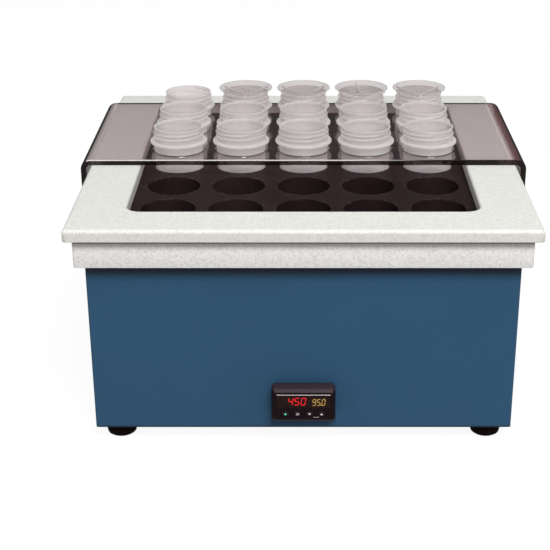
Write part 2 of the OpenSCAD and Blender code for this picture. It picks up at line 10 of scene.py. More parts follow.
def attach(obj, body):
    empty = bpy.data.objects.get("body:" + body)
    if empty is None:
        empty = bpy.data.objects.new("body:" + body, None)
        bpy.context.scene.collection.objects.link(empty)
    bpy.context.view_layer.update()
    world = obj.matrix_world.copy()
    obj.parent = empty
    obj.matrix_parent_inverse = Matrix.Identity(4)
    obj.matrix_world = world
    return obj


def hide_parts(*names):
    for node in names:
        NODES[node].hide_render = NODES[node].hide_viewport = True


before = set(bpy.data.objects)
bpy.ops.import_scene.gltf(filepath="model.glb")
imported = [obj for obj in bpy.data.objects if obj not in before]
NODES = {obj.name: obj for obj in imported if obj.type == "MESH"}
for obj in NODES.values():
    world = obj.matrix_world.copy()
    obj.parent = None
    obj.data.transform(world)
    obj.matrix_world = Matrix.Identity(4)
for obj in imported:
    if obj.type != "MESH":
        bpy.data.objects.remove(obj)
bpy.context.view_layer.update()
scene = bpy.context.scene
MM = 0.001
random.seed(4)

# ------------------------------------------------------------------ sizes, mm
PITCH = 53.0
COLS = [-106.0, -53.0, 0.0, 53.0, 106.0]
ROWS = {"front": 0.0, "middle": 53.0, "back": 106.0}
Z_CUP, CUP_H, FLANGE_H = 119.2, 90.8, 78.8
Z_RIM = Z_CUP + CUP_H
Z_TOP, Z_SLAB, Z_BAND, Z_BODY = 185.5, 176.0, 153.1, 13.0
SLAB_W, SLAB_D, OPEN_W, OPEN_D, OPEN_R = 354.6, 357.2, 270.4, 275.6, 12.0
BAND_W, BAND_D = 342.6, 345.2
BODY_W, BODY_D = 328.2, 330.8
YF, YR = -BODY_D / 2, BODY_D / 2
RACK_Y0, RACK_Y1, LEG_IN, SHEET_T, LEG_Z = -32.4, 136.0, 180.9, 4.7, 152.0
BEND_R = 3.8
BEZEL_Z, BEZEL_P = 38.85, 12.8
INLET_X, INLET_Z, SW_X, SW_Z = -104.0, 52.0, -66.0, 52.0

# ------------------------------------------------------------------ camera
cam_data = bpy.data.cameras.new("camera")
cam_data.sensor_width = 36.0
cam_data.lens = 1315.07 / 550.0 * 36.0
cam_data.shift_x = -(303.47 - 275.0) / 550.0
cam_data.clip_start, cam_data.clip_end = 0.05, 60.0
cam = bpy.data.objects.new("camera", cam_data)
scene.collection.objects.link(cam)
cam.location = (0.0, -1.06996, 0.5424)
cam.rotation_euler = (math.radians(90.0 - 23.744), 0.0, 0.0)
scene.camera = cam


# ------------------------------------------------------------------ materials
def lin(c):
    """sRGB 0-255 to linear."""
    out = []
    for v in c:
        v = v / 255.0
        out.append(v / 12.92 if v <= 0.04045 else ((v + 0.055) / 1.055) ** 2.4)
    return tuple(out) + (1.0,)


class Tree:
    """A material's nodes, with short ways to add them."""

    def __init__(self, name):
        self.mat = bpy.data.materials.new(name)
        self.mat.use_nodes = True
        self.nt = self.mat.node_tree
        self.nt.nodes.clear()
        self.out = self.nt.nodes.new("ShaderNodeOutputMaterial")
        self.coord = None

    def node(self, kind, **inputs):
        n = self.nt.nodes.new(kind)
        for k, v in inputs.items():
            key = k.replace("_", " ")
            if isinstance(v, bpy.types.NodeSocket):
                self.nt.links.new(v, n.inputs[key])
            else:
                n.inputs[key].default_value = v
        return n

    def link(self, a, b):
        self.nt.links.new(a, b)

    def obj(self):
        if self.coord is None:
            self.coord = self.nt.nodes.new("ShaderNodeTexCoord")
        return self.coord.outputs["Object"]

    def stretched(self, sx, sy, sz):
        m = self.nt.nodes.new("ShaderNodeMapping")
        m.inputs["Scale"].default_value = (sx, sy, sz)
        self.link(self.obj(), m.inputs["Vector"])
        return m.outputs["Vector"]

    def noise(self, scale, detail=3.0, rough=0.55, vector=None, distortion=0.0):
        n = self.node("ShaderNodeTexNoise", Scale=scale, Detail=detail, Roughness=rough, Distortion=distortion)
        self.link(vector or self.obj(), n.inputs["Vector"])
        return n.outputs["Fac"]

    def voronoi(self, scale, feature="F1", rand=1.0, vector=None):
        n = self.nt.nodes.new("ShaderNodeTexVoronoi")
        n.feature = feature
        n.inputs["Scale"].default_value = scale
        n.inputs["Randomness"].default_value = rand
        self.link(vector or self.obj(), n.inputs["Vector"])
        return n

    def span(self, value, a, b, lo, hi, smooth=False):
        n = self.nt.nodes.new("ShaderNodeMapRange")
        if smooth:
            n.interpolation_type = "SMOOTHSTEP"
        for i, v in ((1, a), (2, b), (3, lo), (4, hi)):
            n.inputs[i].default_value = v
        self.link(value, n.inputs[0])
        return n.outputs[0]

    def math(self, op, a, b=None):
        n = self.nt.nodes.new("ShaderNodeMath")
        n.operation = op
        for i, v in ((0, a), (1, b)):
            if v is None:
                continue
            if isinstance(v, bpy.types.NodeSocket):
                self.link(v, n.inputs[i])
            else:
                n.inputs[i].default_value = v
        return n.outputs[0]

    def mix(self, fac, a, b):
        n = self.nt.nodes.new("ShaderNodeMix")
        n.data_type = "RGBA"
        for i, v in ((0, fac), (6, a), (7, b)):
            if isinstance(v, bpy.types.NodeSocket):
                self.link(v, n.inputs[i])
            else:
                n.inputs[i].default_value = v
        return n.outputs[2]

    def bump(self, height, strength, distance, normal=None):
        n = self.node("ShaderNodeBump", Strength=strength, Distance=distance)
        self.link(height, n.inputs["Height"])
        if normal is not None:
            self.link(normal, n.inputs["Normal"])
        return n.outputs["Normal"]

    def principled(self, **kw):
        n = self.node("ShaderNodeBsdfPrincipled", **kw)
        return n

    def done(self, shader, volume=None):
        self.link(shader, self.out.inputs["Surface"])
        if volume is not None:
            self.link(volume, self.out.inputs["Volume"])
        return self.mat


def plain(name, base, rough, metallic=0.0, spec=0.5, vary=0.05, vary_scale=30.0, rough_vary=0.06,
          grain=900.0, grain_strength=0.15, grain_depth=0.0001, brushed=None):
    """An even finish with slight mottling, changing gloss and a fine grain."""
    t = Tree(name)
    c = lin(base)
    dark = tuple(v * (1 - vary) for v in c[:3]) + (1,)
    light = tuple(min(1, v * (1 + vary)) for v in c[:3]) + (1,)
    blotch = t.noise(vary_scale, 4.0, 0.6)
    colour = t.mix(t.span(blotch, 0.3, 0.7, 0.0, 1.0), dark, light)
    vec = t.stretched(*brushed) if brushed else None
    fine = t.noise(grain, 2.0, 0.6, vector=vec)
    r = t.span(fine, 0.25, 0.75, max(0.02, rough - rough_vary), min(1.0, rough + rough_vary))
    p = t.principled(Base_Color=colour, Roughness=r, Metallic=metallic)
    p.inputs["Specular IOR Level"].default_value = spec
    t.link(t.bump(fine, grain_strength, grain_depth), p.inputs["Normal"])
    return t.done(p.outputs[0])


def solid_surface(name, base, contrast=1.0, side_shade=None, shade_from=None):
    """Acrylic solid surface: pale, satin, a close mottle of grains about a millimetre across."""
    t = Tree(name)
    c = lin(base)

    def shade(f):
        return tuple(min(1.0, v * f) for v in c[:3]) + (1,)

    cloud = t.noise(26.0, 5.0, 0.6)
    ground = t.mix(t.span(cloud, 0.3, 0.7, 0.0, 1.0), shade(0.985), shade(1.012))
    # grains, each with its own tone
    cells = t.voronoi(760.0)
    s = t.nt.nodes.new("ShaderNodeSeparateColor")
    t.link(cells.outputs["Color"], s.inputs[0])
    darker = t.span(s.outputs[0], 0.45, 1.0, 0.0, 0.85 * contrast)
    colour = t.mix(darker, ground, tuple(v * f for v, f in zip(c[:3], (0.80, 0.79, 0.79))) + (1,))
    lighter = t.span(s.outputs[1], 0.7, 1.0, 0.0, 0.8)
    colour = t.mix(lighter, colour, shade(1.09))
    # a few small grey chips
    b = t.voronoi(520.0)
    s2 = t.nt.nodes.new("ShaderNodeSeparateColor")
    t.link(b.outputs["Color"], s2.inputs[0])
    near = t.span(b.outputs["Distance"], 0.2, 0.36, 1.0, 0.0, True)
    some = t.math("MULTIPLY", near, t.math("GREATER_THAN", s2.outputs[0], 0.86))
    colour = t.mix(t.math("MULTIPLY", some, 0.5 * contrast), colour, tuple(v * 0.62 for v in c[:3]) + (1,))
    xyz = t.nt.nodes.new("ShaderNodeSeparateXYZ")
    t.link(t.obj(), xyz.inputs[0])
    # upright faces (outer edges, opening walls) get their colour multiplied by the given tint: painted shade on the
    # sides
    if side_shade:
        turned = t.nt.nodes.new("ShaderNodeSeparateXYZ")
        t.link(t.coord.outputs["Normal"], turned.inputs[0])
        side = t.span(turned.outputs[2], 0.25, 0.8, 1.0, 0.0, True)
        side_shaded = t.nt.nodes.new("ShaderNodeMix")
        side_shaded.data_type = "RGBA"
        side_shaded.blend_type = "MULTIPLY"
        t.link(side, side_shaded.inputs[0])
        t.link(colour, side_shaded.inputs[6])
        side_shaded.inputs[7].default_value = side_shade
        colour = side_shaded.outputs[2]
    # painted shade on the band under the slab's overhang, darkest in a thin painted shadow line just under the slab's
    # bottom edge
    if shade_from:
        near = t.span(xyz.outputs[2], shade_from - 0.0075, shade_from - 0.0008, 0.0, 0.29, True)
        gap_line_shade = t.span(xyz.outputs[2], shade_from - 0.0011, shade_from - 0.0003, 0.0, 0.8, True)
        colour = t.mix(t.math("MAXIMUM", near, gap_line_shade), colour, lin((76, 48, 42)))
    fine = t.noise(1500.0, 2.0, 0.5)
    r = t.span(t.noise(60.0, 3.0, 0.6), 0.3, 0.7, 0.46, 0.56)
    p = t.principled(Base_Color=colour, Roughness=r)
    p.inputs["Specular IOR Level"].default_value = 0.3
    t.link(t.bump(fine, 0.08, 0.00006), p.inputs["Normal"])
    return t.done(p.outputs[0])


def powder_coat(name, base, rough=0.5, spec=0.3, shade_from=None):
    """Powder coat: fine orange peel with a little colour drift."""
    t = Tree(name)
    c = lin(base)
    drift = t.noise(7.0, 4.0, 0.6)
    colour = t.mix(t.span(drift, 0.3, 0.7, 0.0, 1.0), tuple(v * 0.95 for v in c[:3]) + (1,), tuple(v * 1.05 for v in c[:3]) + (1,))
    speck = t.noise(1400.0, 2.0, 0.6)
    colour = t.mix(t.span(speck, 0.56, 0.7, 0.0, 0.22), colour, tuple(min(1, v * 1.5 + 0.004) for v in c[:3]) + (1,))
    # painted shade: shade under the band's overhang, a painted shadow under the controller bezel, and a dark painted
    # line along the bottom edge
    if shade_from:
        xyz = t.nt.nodes.new("ShaderNodeSeparateXYZ")
        t.link(t.obj(), xyz.inputs[0])
        across = t.span(t.math("ABSOLUTE", xyz.outputs[0]), 0.0244, 0.0262, 1.0, 0.0, True)
        low = (BEZEL_Z - 14.2) * MM
        bezel_shadow = t.math("MULTIPLY", t.span(xyz.outputs[2], low - 0.011, low, 0.0, 0.97, True), t.math("LESS_THAN", xyz.outputs[2], low + 0.001))
        bezel_shadow = t.math("MULTIPLY", t.math("MULTIPLY", bezel_shadow, across), t.math("LESS_THAN", xyz.outputs[1], -0.1))
        band = t.span(xyz.outputs[2], shade_from - 0.0165, shade_from, 0.0, 0.9, True)
        foot_edge_shade = t.span(xyz.outputs[2], 0.0136, 0.0150, 0.7, 0.0, True)
        colour = t.mix(t.math("MAXIMUM", foot_edge_shade, t.math("MAXIMUM", band, bezel_shadow)), colour, lin((24, 18, 26)))
    peel = t.noise(620.0, 3.0, 0.55)
    p = t.principled(Base_Color=colour, Roughness=t.span(peel, 0.3, 0.7, rough - 0.06, rough + 0.06))
    p.inputs["Specular IOR Level"].default_value = spec
    t.link(t.bump(peel, 0.22, 0.00012), p.inputs["Normal"])
    return t.done(p.outputs[0])


def block_coat(name):
    """Matte near-black coating on the metal block, slightly warm; paler rings round the wells are rubbed wear and also
    a painted highlight on the well edges, and paler patches on the top are dust and also a painted sheen.
    """
    t = Tree(name)
    blotch = t.noise(22.0, 5.0, 0.65)
    colour = t.mix(t.span(blotch, 0.35, 0.7, 0.0, 1.0), lin((35, 21, 23)), lin((48, 33, 34)))
    # distance from the nearest well's axis
    x = t.nt.nodes.new("ShaderNodeSeparateXYZ")
    t.link(t.obj(), x.inputs[0])
    legs = []
    for axis in (0, 1):
        w = t.math("PINGPONG", x.outputs[axis], 0.0265)
        legs.append(t.math("MULTIPLY", w, w))
        legs.append(w)
    # PINGPONG folds every 53 mm, with 0 on the axes of the wells
    r2 = t.math("ADD", legs[0], legs[2])
    ring = t.span(r2, 0.0215 ** 2, 0.0245 ** 2, 1.0, 0.0, True)
    top = t.span(x.outputs[2], 0.1735, 0.1748, 0.0, 1.0)
    rub = t.span(t.noise(260.0, 4.0, 0.8), 0.52, 0.62, 0.0, 0.5)
    # the paler rings are rubbed wear and also a painted highlight on the well edges
    rubbed_and_highlit_rings = t.math("MULTIPLY", t.math("MULTIPLY", ring, top), rub)
    # the paler patches on the top face are dust and also a painted sheen
    dust_and_sheen = t.math("MULTIPLY", t.span(t.noise(520.0, 3.0, 0.75), 0.6, 0.74, 0.0, 0.45), top)
    colour = t.mix(t.math("MAXIMUM", rubbed_and_highlit_rings, dust_and_sheen), colour, lin((104, 90, 90)))
    fine = t.noise(1600.0, 2.0, 0.6)
    p = t.principled(Base_Color=colour, Roughness=t.span(blotch, 0.3, 0.7, 0.5, 0.66))
    p.inputs["Specular IOR Level"].default_value = 0.22
    t.link(t.bump(fine, 0.25, 0.00008), p.inputs["Normal"])
    return t.done(p.outputs[0])


def translucent_plastic(name, tint, through, rough=0.3, milk=0.45, haze=0.5, neck=1.0, rim=0.5):
    """Natural polypropylene: part of the light passes, part scatters, with a soft gloss."""
    t = Tree(name)
    cloud = t.noise(55.0, 4.0, 0.6)
    c = lin(tint)
    colour = t.mix(t.span(cloud, 0.3, 0.7, 0.0, 1.0), tuple(v * 0.95 for v in c[:3]) + (1,), tuple(min(1, v * 1.03) for v in c[:3]) + (1,))
    fine = t.noise(700.0, 2.0, 0.5)
    normal = t.bump(fine, 0.05, 0.00005)
    p = t.principled(Base_Color=colour, Roughness=t.span(fine, 0.3, 0.7, rough - 0.05, rough + 0.05))
    p.inputs["Specular IOR Level"].default_value = 0.5
    t.link(normal, p.inputs["Normal"])
    back = t.nt.nodes.new("ShaderNodeBsdfTranslucent")
    t.link(colour, back.inputs["Color"])
    body = t.nt.nodes.new("ShaderNodeMixShader")
    body.inputs[0].default_value = haze
    t.link(p.outputs[0], body.inputs[1])
    t.link(back.outputs[0], body.inputs[2])
    clear = t.nt.nodes.new("ShaderNodeBsdfTransparent")
    clear.inputs["Color"].default_value = lin(through)
    edge = t.nt.nodes.new("ShaderNodeLayerWeight")
    edge.inputs["Blend"].default_value = 0.35
    cover = t.span(edge.outputs["Facing"], 0.0, 1.0, milk, min(1.0, milk + rim))
    xyz = t.nt.nodes.new("ShaderNodeSeparateXYZ")
    t.link(t.obj(), xyz.inputs[0])
    cover = t.math("MULTIPLY", cover, t.span(xyz.outputs[2], (Z_CUP + FLANGE_H) * MM, (Z_CUP + FLANGE_H + 1.5) * MM, 1.0, neck))
    path = t.nt.nodes.new("ShaderNodeLightPath")
    cover = t.math("MULTIPLY", cover, t.math("SUBTRACT", 1.0, t.math("MULTIPLY", path.outputs["Is Shadow Ray"], 0.7)))
    shade = t.nt.nodes.new("ShaderNodeMixShader")
    t.link(cover, shade.inputs[0])
    t.link(clear.outputs[0], shade.inputs[1])
    t.link(body.outputs[0], shade.inputs[2])
    return t.done(shade.outputs[0])


def smoked_sheet(name):
    """Clear smoked polycarbonate: glass with an absorbing body, with painted shade over the right bend and painted
    highlight stripes along the left bend; lamps reach what lies behind it.
    """
    t = Tree(name)
    scuff = t.noise(90.0, 4.0, 0.65, vector=t.stretched(1.0, 3.0, 1.0))
    p = t.principled(Roughness=t.span(scuff, 0.35, 0.75, 0.02, 0.06))
    p.inputs["Base Color"].default_value = (0.99, 0.98, 0.97, 1)
    p.inputs["IOR"].default_value = 1.5
    p.inputs["Transmission Weight"].default_value = 1.0
    # painted shade over the right bend and painted highlight stripes along the left bend, standing in for how the lamps
    # fall on the bends
    x = t.nt.nodes.new("ShaderNodeSeparateXYZ")
    t.link(t.obj(), x.inputs[0])
    right = t.span(x.outputs[0], 0.1732, 0.1744, 0.0, 0.3, True)
    bend_shade = t.principled(Roughness=t.span(scuff, 0.35, 0.75, 0.3, 0.4))
    bend_shade.inputs["Base Color"].default_value = lin((138, 101, 96))
    bend_shade.inputs["Specular IOR Level"].default_value = 0.3
    shaded = t.nt.nodes.new("ShaderNodeMixShader")
    t.link(right, shaded.inputs[0])
    t.link(p.outputs[0], shaded.inputs[1])
    t.link(bend_shade.outputs[0], shaded.inputs[2])
    # painted highlight: a pale coat laid in stripes along the left bend
    bend_highlight = t.principled(Roughness=t.span(scuff, 0.35, 0.75, 0.2, 0.3))
    bend_highlight.inputs["Base Color"].default_value = lin((232, 224, 220))
    wide = t.math("MULTIPLY", t.span(x.outputs[0], -0.1806, -0.1796, 0.0, 1.0, True), t.span(x.outputs[0], -0.1770, -0.1745, 1.0, 0.0, True))
    line_a = t.span(t.math("ABSOLUTE", t.math("ADD", x.outputs[0], 0.1764)), 0.0, 0.0009, 1.0, 0.0, True)
    line_b = t.span(t.math("ABSOLUTE", t.math("ADD", x.outputs[0], -0.1724)), 0.0, 0.0009, 0.8, 0.0, True)
    highlight_stripes = t.math("MAXIMUM", t.math("MULTIPLY", wide, 0.6), t.math("MAXIMUM", line_a, line_b))
    lined = t.nt.nodes.new("ShaderNodeMixShader")
    t.link(t.math("MULTIPLY", highlight_stripes, 0.5), lined.inputs[0])
    t.link(shaded.outputs[0], lined.inputs[1])
    t.link(bend_highlight.outputs[0], lined.inputs[2])
    black = t.principled(Roughness=t.span(scuff, 0.35, 0.75, 0.5, 0.62))
    black.inputs["Base Color"].default_value = lin((22, 14, 14))
    black.inputs["Specular IOR Level"].default_value = 0.06
    rimmed = t.nt.nodes.new("ShaderNodeMixShader")
    outer = t.span(t.math("ABSOLUTE", x.outputs[0]), 0.1803, 0.1817, 0.0, 1.0, True)
    t.link(t.math("MULTIPLY", outer, t.span(x.outputs[2], 0.1805, 0.1840, 0.66, 0.95, True)), rimmed.inputs[0])
    t.link(lined.outputs[0], rimmed.inputs[1])
    t.link(black.outputs[0], rimmed.inputs[2])
    path = t.nt.nodes.new("ShaderNodeLightPath")
    clear = t.nt.nodes.new("ShaderNodeBsdfTransparent")
    clear.inputs["Color"].default_value = (1.0, 0.995, 0.99, 1)
    lamp = t.math("MAXIMUM", path.outputs["Is Shadow Ray"], path.outputs["Is Diffuse Ray"])
    m = t.nt.nodes.new("ShaderNodeMixShader")
    t.link(lamp, m.inputs[0])
    t.link(rimmed.outputs[0], m.inputs[1])
    t.link(clear.outputs[0], m.inputs[2])
    v = t.nt.nodes.new("ShaderNodeVolumeAbsorption")
    v.inputs["Color"].default_value = (0.4, 0.09, 0.24, 1)
    v.inputs["Density"].default_value = 32.0
    return t.done(m.outputs[0], v.outputs[0])


def highlit_edge(name):
    """The sheet's bevelled corners: a pale colour painted on as a highlight line, left out toward the right of the
    front edge and on the legs, where the corners keep the smoked sheet's dark edge; fine scratches vary the gloss.
    """
    t = Tree(name)
    n = t.noise(400.0, 3.0, 0.6)
    p = t.principled(Roughness=t.span(n, 0.3, 0.7, 0.18, 0.32))
    p.inputs["Specular IOR Level"].default_value = 0.3
    clear = t.nt.nodes.new("ShaderNodeBsdfTransparent")
    clear.inputs["Color"].default_value = (0.8, 0.77, 0.76, 1)
    x = t.nt.nodes.new("ShaderNodeSeparateXYZ")
    t.link(t.obj(), x.inputs[0])
    front = t.span(x.outputs[1], -0.0312, -0.0302, 1.0, 0.0)
    no_highlight = t.math("MULTIPLY", front, t.span(x.outputs[0], 0.03, 0.11, 0.0, 1.0, True))
    legs = t.span(t.math("ABSOLUTE", x.outputs[0]), 0.1795, 0.1812, 0.0, 1.0, True)
    dark = t.math("MAXIMUM", no_highlight, legs)
    # the pale colour is a painted highlight along the corners; the dark colour is the smoked sheet's dark edge
    t.link(t.mix(dark, lin((240, 231, 227)), lin((24, 17, 16))), p.inputs["Base Color"])
    holes = t.math("SUBTRACT", 1.0, t.math("MULTIPLY", t.math("SUBTRACT", 1.0, front), 0.45))
    m = t.nt.nodes.new("ShaderNodeMixShader")
    t.link(t.math("MULTIPLY", t.span(n, 0.3, 0.7, 0.7, 0.95), holes), m.inputs[0])
    t.link(clear.outputs[0], m.inputs[1])
    t.link(p.outputs[0], m.inputs[2])
    return t.done(m.outputs[0])


def cut_face(name):
    """The sheet's cut faces: looking in along the sheet, the tint adds up to near black."""
    t = Tree(name)
    n = t.noise(260.0, 3.0, 0.6, vector=t.stretched(1.0, 1.0, 6.0))
    p = t.principled(Roughness=t.span(n, 0.3, 0.7, 0.1, 0.22))
    p.inputs["Base Color"].default_value = lin((30, 22, 21))
    p.inputs["Specular IOR Level"].default_value = 0.2
    clear = t.nt.nodes.new("ShaderNodeBsdfTransparent")
    clear.inputs["Color"].default_value = (0.5, 0.44, 0.43, 1)
    m = t.nt.nodes.new("ShaderNodeMixShader")
    t.link(t.span(n, 0.3, 0.7, 0.72, 0.86), m.inputs[0])
    t.link(clear.outputs[0], m.inputs[1])
    t.link(p.outputs[0], m.inputs[2])
    return t.done(m.outputs[0])


def dark_window(name):
    """Dark tinted display pane: glossy, and see-through enough for the lit digits."""
    t = Tree(name)
    clear = t.nt.nodes.new("ShaderNodeBsdfTransparent")
    clear.inputs["Color"].default_value = (0.55, 0.34, 0.3, 1)
    scuff = t.noise(200.0, 3.0, 0.6)
    p = t.principled(Roughness=t.span(scuff, 0.3, 0.7, 0.12, 0.2))
    p.inputs["Base Color"].default_value = lin((40, 14, 9))
    m = t.nt.nodes.new("ShaderNodeMixShader")
    m.inputs[0].default_value = 0.35
    t.link(clear.outputs[0], m.inputs[1])
    t.link(p.outputs[0], m.inputs[2])
    return t.done(m.outputs[0])


def lit(name, colour, strength):
    """A lit segment: emission whose colour varies a little across it, in a fine noise."""
    t = Tree(name)
    n = t.noise(600.0, 2.0, 0.5)
    e = t.nt.nodes.new("ShaderNodeEmission")
    c = tuple(colour)
    t.link(t.mix(t.span(n, 0.3, 0.7, 0.0, 1.0), tuple(v * 0.88 for v in c) + (1,), c + (1,)), e.inputs["Color"])
    e.inputs["Strength"].default_value = strength
    return t.done(e.outputs[0])


M = {
    # the last value darkens and warms the slab's upright faces: painted shade
    "slab": solid_surface("frame_solid_surface", (235, 236, 230), 0.6, (0.9, 0.865, 0.865, 1)),
    "band": solid_surface("band_solid_surface", (239, 236, 233), 0.9, shade_from=0.1735),
    "blue": powder_coat("housing_blue", (44, 82, 112), 0.55, 0.2, 0.1525),
    "grey": powder_coat("base_grey", (112, 118, 124)),
    "rubber": plain("foot_rubber", (20, 11, 13), 0.85, spec=0.06, grain=1200, grain_strength=0.3),
    "zinc": plain("zinc_steel", (190, 188, 180), 0.34, metallic=1.0, grain=700),
    "block": block_coat("coated_block"),
    "silicone": plain("silicone_seal", (150, 60, 45), 0.6, spec=0.3),
    "heater": plain("heater_orange", (196, 92, 40), 0.6, spec=0.3, grain=420, grain_strength=0.5),
    "alu": plain("bare_aluminium", (200, 201, 203), 0.33, metallic=1.0, grain=260, brushed=(1, 12, 1)),
    "wool": plain("insulation_board", (226, 220, 204), 0.95, spec=0.1, grain=260, grain_strength=0.8, grain_depth=0.0006),
    "steel": plain("steel", (176, 176, 178), 0.3, metallic=1.0, grain=600),
    "black": plain("black_plastic", (30, 29, 31), 0.45, spec=0.4, grain=1500, grain_strength=0.3),
    "bezel": plain("bezel_plastic", (21, 8, 12), 0.5, spec=0.12, grain=1800, grain_strength=0.25),
    # a paler copy of the bezel plastic for the bezel's upward faces: painted light on its top
    "bezel_top_lit": plain("bezel_plastic_top_lit", (54, 40, 46), 0.5, spec=0.3, grain=1800, grain_strength=0.25),
    # pale glossy finish: a painted highlight along the pane's upper edge, and also the printed bar under the keys
    "lip": plain("pale_highlight_and_print", (238, 226, 228), 0.35, spec=0.6, grain=1800, grain_strength=0.1),
    "window": dark_window("window_plastic"),
    "board": plain("board_green", (28, 92, 56), 0.4, spec=0.5, grain=300, grain_strength=0.2),
    "key": plain("key_rubber", (34, 22, 28), 0.6, spec=0.15, grain=1500, grain_strength=0.3),
    "fuse": plain("fuse_glass", (196, 202, 204), 0.12, spec=0.6, grain=300, grain_strength=0.05),
    "cream": plain("cream_plastic", (222, 216, 198), 0.5, spec=0.4),
    "wire": plain("wire_insulation", (150, 42, 36), 0.5, spec=0.4),
    "rack": smoked_sheet("smoked_polycarbonate"),
    "rack_edge": highlit_edge("smoked_polycarbonate_corner"),
    "rack_face": cut_face("smoked_polycarbonate_cut"),
    "cup": translucent_plastic("polypropylene", (252, 250, 251), (244, 241, 240), milk=0.62, haze=0.48, rough=0.25, neck=0.58),
    "cup_edge": translucent_plastic("polypropylene_thick", (247, 244, 244), (243, 241, 241), milk=0.62, haze=0.4, neck=0.92),
    # a whiter, milkier copy of the watch glass plastic for the fins: painted light, so the fins read pale in the dish's
    # shadow
    "fin": translucent_plastic("polypropylene_fin_lit", (255, 254, 253), (245, 244, 244), milk=0.92, haze=0.5, rim=0.08),
    "glass": translucent_plastic("polypropylene_clear", (220, 214, 213), (237, 235, 235), milk=0.1, haze=0.45, rim=0.22),
}

CAD_MATERIALS = {
    "top_frame": "slab", "skirt_band": "band", "housing": "blue", "base_plate": "grey",
    "feet": "rubber", "foot_screws": "zinc", "foot_nuts": "zinc", "base_screws": "zinc",
    "heating_block": "block", "block_gasket": "silicone", "heater_mat": "heater",
    "heater_clamp_plate": "alu", "clamp_screws": "steel", "bottom_insulation": "wool",
    "side_insulation": "wool", "insulation_tray": "zinc", "support_pillars": "alu",
    "temperature_probe": "steel", "overheat_cutout": "cream", "controller_bezel": "bezel",
    "controller_window": "window", "controller_gasket": "rubber", "controller_case": "black",
    "display_board": "board", "controller_clamp": "black", "key_function": "key",
    "key_advance": "key", "key_down": "key", "key_up": "key", "power_inlet": "black",
    "inlet_pins": "steel", "fuse_drawer": "black", "fuse": "fuse", "switch_frame": "black",
    "rocker": "black", "relay_heat_sink": "alu", "solid_state_relay": "cream",
    "terminal_block": "cream", "wiring": "wire", "cup_rack": "rack",
}
for name, o in NODES.items():
    key = CAD_MATERIALS.get(name) or ("cup" if name.startswith("cup_") else "glass")
    o.data.materials.clear()
    o.data.materials.append(M[key])


# ------------------------------------------------------------------ mesh tools
def add(name, verts, faces, mats, body, replaces=(), sharp=35.0, index=None, merge=0.0):
    """A mesh object from points in millimetres, in the row frame."""
    me = bpy.data.meshes.new(name)
    me.from_pydata([tuple(c * MM for c in v) for v in verts], [], faces)
    me.validate()
    for m in mats if isinstance(mats, (list, tuple)) else [mats]:
        me.materials.append(m)
    if index is not None:
        me.polygons.foreach_set("material_index", index)
    bm = bmesh.new()
    bm.from_mesh(me)
    if merge:
        bmesh.ops.remove_doubles(bm, verts=bm.verts, dist=merge * MM)
    bmesh.ops.recalc_face_normals(bm, faces=bm.faces)
    bm.to_mesh(me)
    bm.free()
    me.shade_smooth()
    me.set_sharp_from_angle(angle=math.radians(sharp))
    o = bpy.data.objects.new(name, me)
    scene.collection.objects.link(o)
    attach(o, body)
    if replaces:
        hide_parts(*replaces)
    return o


def lathe(profile, cx, cy, z0, segs=96, radius=None):
    """Points and faces of a closed profile [(r, z)] turned about an upright axis; r = 0 at both ends."""
    verts, faces, rings = [], [], []
    for r, z in profile:
        if r < 1e-6:
            rings.append([len(verts)] * segs)
            verts.append((cx, cy, z0 + z))
            continue
        ring = []
        for i in range(segs):
            a = 2 * math.pi * i / segs
            q = r + (radius(a, r, z) if radius else 0.0)
            ring.append(len(verts))
            verts.append((cx + q * math.cos(a), cy + q * math.sin(a), z0 + z))
        rings.append(ring)
    for k in range(len(rings) - 1):
        a, b = rings[k], rings[k + 1]
        for i in range(segs):
            j = (i + 1) % segs
            q = [a[i], a[j], b[j], b[i]]
            f = []
            for v in q:
                if v not in f:
                    f.append(v)
            if len(f) >= 3:
                faces.append(f)
    return verts, faces


def arc(cx, cy, r, a0, a1, n):
    return [(cx + r * math.cos(math.radians(a0 + (a1 - a0) * i / n)),
             cy + r * math.sin(math.radians(a0 + (a1 - a0) * i / n))) for i in range(n + 1)]


def rounded_rect(w, h, r, n=8):
    """Outline of a centred rounded rectangle, counter-clockwise, 4 * (n + 1) points."""
    pts = []
    for sx, sy, a in ((1, -1, -90), (1, 1, 0), (-1, 1, 90), (-1, -1, 180)):
        pts += arc(sx * (w / 2 - r), sy * (h / 2 - r), r, a, a + 90, n)
    return pts


def skin(loops, close=True):
    """Faces that join a row of equal loops; with close, the last joins the first."""
    verts, faces = [], []
    n = len(loops[0])
    for l in loops:
        verts += l
    m = len(loops)
    for k in range(m if close else m - 1):
        for i in range(n):
            j = (i + 1) % n
            a, b = k * n, ((k + 1) % m) * n
            faces.append([a + i, a + j, b + j, b + i])
    return verts, faces


